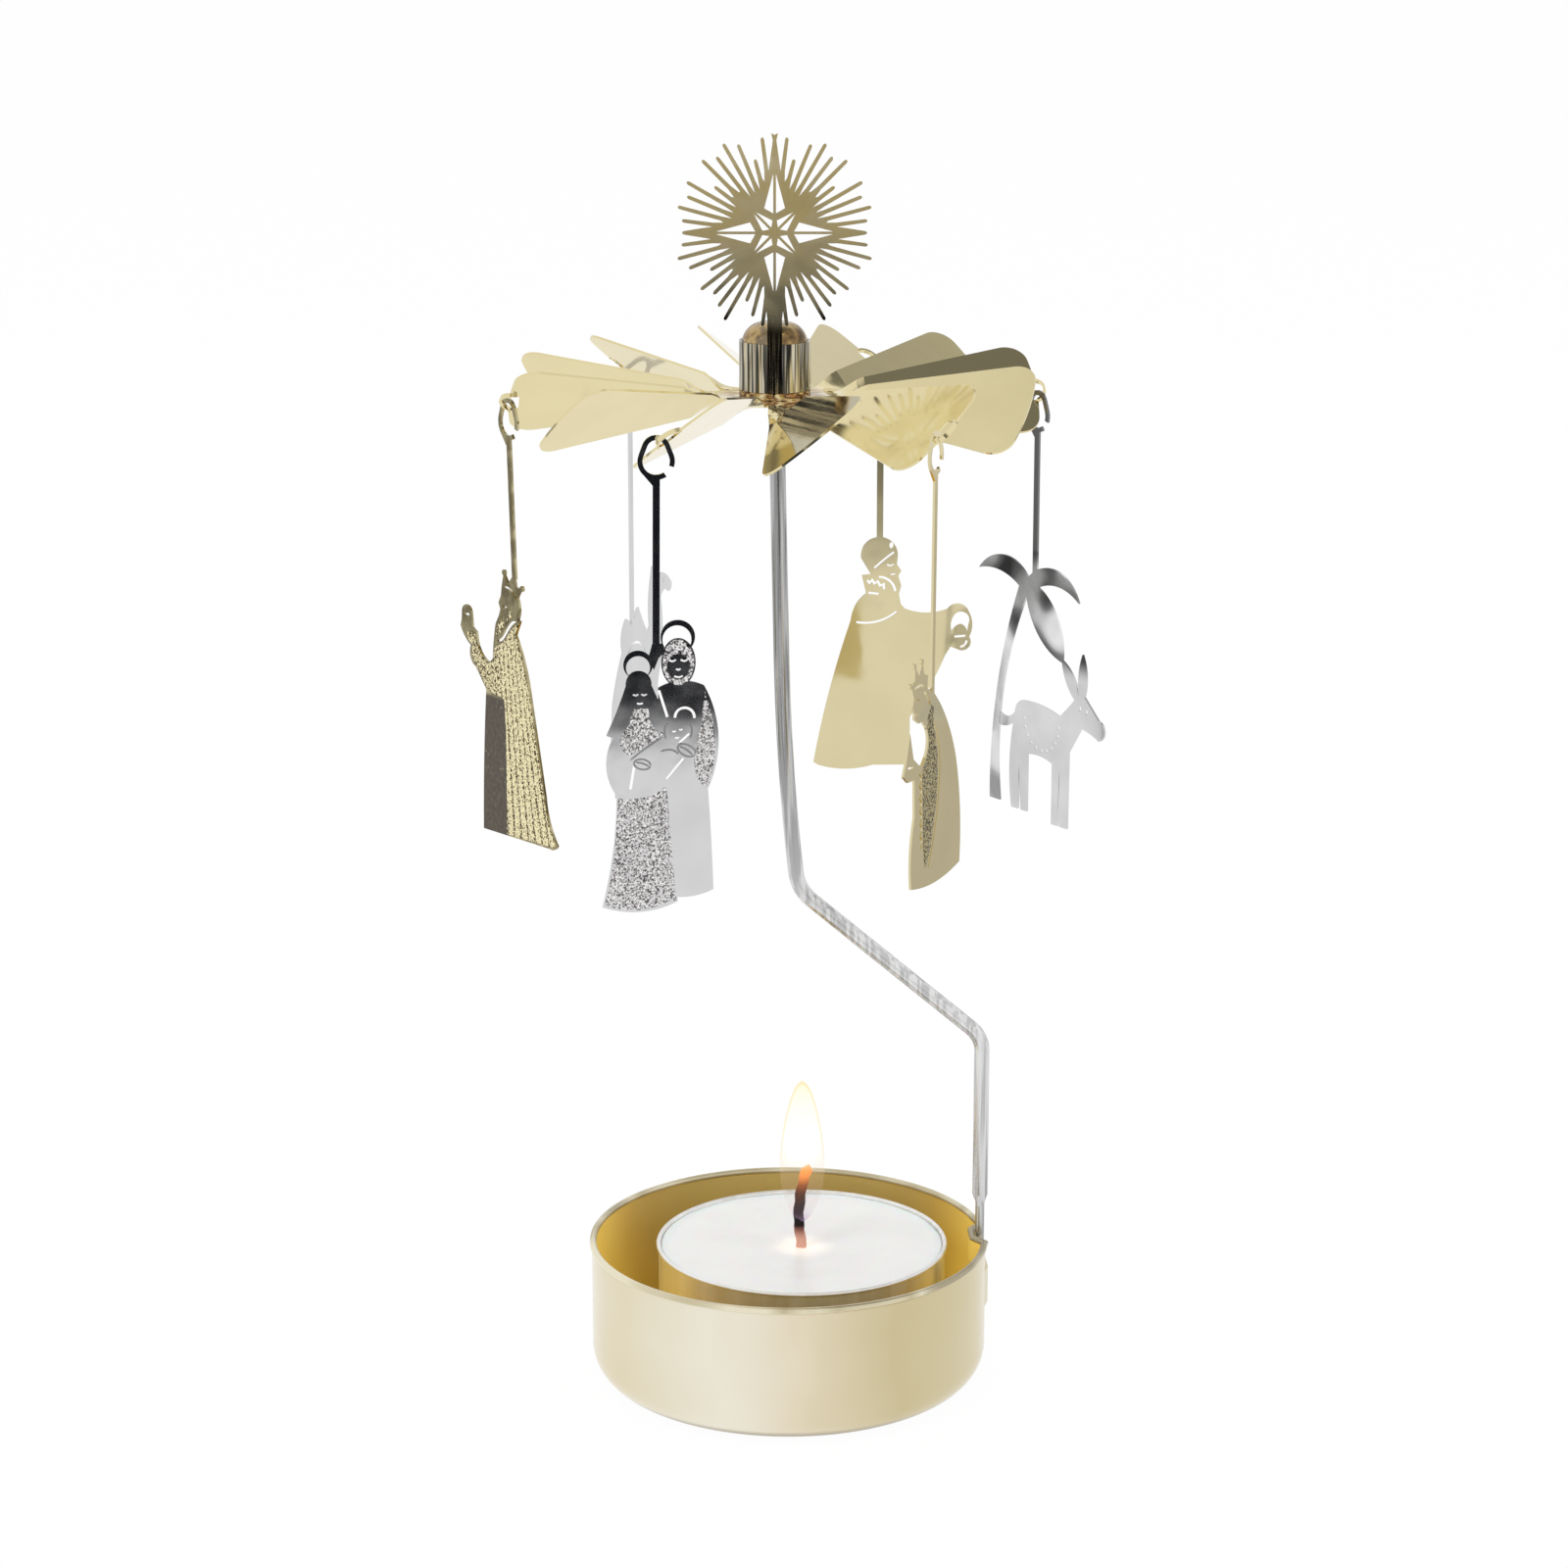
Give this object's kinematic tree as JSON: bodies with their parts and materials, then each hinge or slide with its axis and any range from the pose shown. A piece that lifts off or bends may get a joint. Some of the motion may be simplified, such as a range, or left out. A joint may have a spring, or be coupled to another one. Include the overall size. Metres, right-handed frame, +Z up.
{
  "type": "rotary tealight carousel",
  "caption": "Table carousel for a tealight: a cup with a bent wire carries a bladed fan, stamped hanging figures and a star on a needle point.",
  "frame": {"origin": "centre of the cup's flat base, on the surface it stands on", "axes": "+Z up towards the star; +X towards the woven socket in the cup's wall, so the stem wire lies in the XZ plane; the front of the figures faces -Y"},
  "size_m": [0.0803, 0.0751, 0.1621],
  "materials": {
    "cup_gold": "bright plated mirror",
    "wire_steel": "bright drawn wire",
    "can_aluminium": "thin drawn sheet",
    "wax_white": "paraffin wax, slightly translucent",
    "wick_cotton": "braided cotton, burnt at the tip",
    "clip_tin": "tinplate",
    "sheet_gold": "gold plated sheet, smooth and embossed",
    "sheet_silver": "silver plated sheet, smooth and embossed"
  },
  "bodies": {
    "stand": {"base_cup": "cup_gold", "stem_wire": "wire_steel"},
    "tealight": {"tealight_can": "can_aluminium", "tealight_wax": "wax_white", "tealight_wick": "wick_cotton", "wick_clip": "clip_tin"},
    "rotor": {"fan": "sheet_gold", "bearing_cap": "sheet_gold", "star_topper": "sheet_gold"},
    "king_jar_hanger": {"hanger_king_jar": "sheet_gold"},
    "family_hanger": {"hanger_family": "sheet_silver"},
    "king_casket_hanger": {"hanger_king_casket": "sheet_gold"},
    "donkey_hanger": {"hanger_donkey": "sheet_silver"},
    "king_censer_hanger": {"hanger_king_censer": "sheet_gold"},
    "camel_hanger": {"hanger_camel": "sheet_silver"}
  },
  "joints": [
    {"name": "tealight_lift", "type": "slide", "parent": "stand", "child": "tealight", "axis": [0, 0, 1], "range_m": [0, 0.022]},
    {"name": "rotor_spin", "type": "hinge", "parent": "stand", "child": "rotor", "pos_m": [-0.00175, 0, 0.1382], "axis": [0, 0, 1], "continuous": true},
    {"name": "king_jar_swing", "type": "hinge", "parent": "rotor", "child": "king_jar_hanger", "pos_m": [-0.03468, -0.00127, 0.1279], "axis": [-0.8387, -0.5446, 0], "range_deg": [-12, 12]},
    {"name": "family_swing", "type": "hinge", "parent": "rotor", "child": "family_hanger", "pos_m": [-0.01712, -0.02915, 0.1279], "axis": [0.0523, -0.9986, 0], "range_deg": [-12, 12]},
    {"name": "king_casket_swing", "type": "hinge", "parent": "rotor", "child": "king_casket_hanger", "pos_m": [0.01581, -0.02788, 0.1279], "axis": [0.891, -0.454, 0], "range_deg": [-12, 12]},
    {"name": "donkey_swing", "type": "hinge", "parent": "rotor", "child": "donkey_hanger", "pos_m": [0.03118, 0.00127, 0.1279], "axis": [-0.8387, -0.5446, 0], "range_deg": [-12, 12]},
    {"name": "king_censer_swing", "type": "hinge", "parent": "rotor", "child": "king_censer_hanger", "pos_m": [0.01362, 0.02915, 0.1279], "axis": [0.0523, -0.9986, 0], "range_deg": [-12, 12]},
    {"name": "camel_swing", "type": "hinge", "parent": "rotor", "child": "camel_hanger", "pos_m": [-0.01931, 0.02788, 0.1279], "axis": [0.891, -0.454, 0], "range_deg": [-12, 12]}
  ]
}
